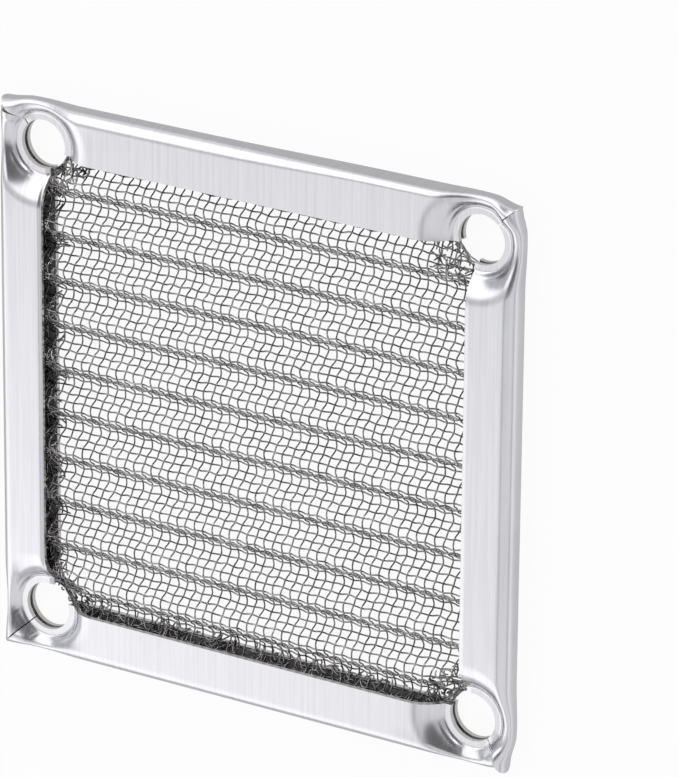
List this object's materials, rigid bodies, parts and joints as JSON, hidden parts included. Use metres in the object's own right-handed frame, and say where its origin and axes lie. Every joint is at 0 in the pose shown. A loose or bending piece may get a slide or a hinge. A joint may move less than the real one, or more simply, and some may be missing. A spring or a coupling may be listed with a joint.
{
  "type": "fan dust filter",
  "caption": "Flat square fan dust filter: corrugated woven wire cloth held in a folded sheet-metal channel frame with pressed corner screw holes.",
  "frame": {"origin": "middle of the screw-hole square, on the back face that lies against the fan", "axes": "+Z out of the front face, through the thickness; X along the cloth's ridges; Y across them"},
  "size_m": [0.0598, 0.0598, 0.0032],
  "materials": {
    "aluminium": "fine brushed, satin",
    "stainless_wire": "drawn wire, woven"
  },
  "bodies": {
    "root": {"channel_frame": "aluminium", "wire_mesh": "stainless_wire"}
  },
  "joints": []
}
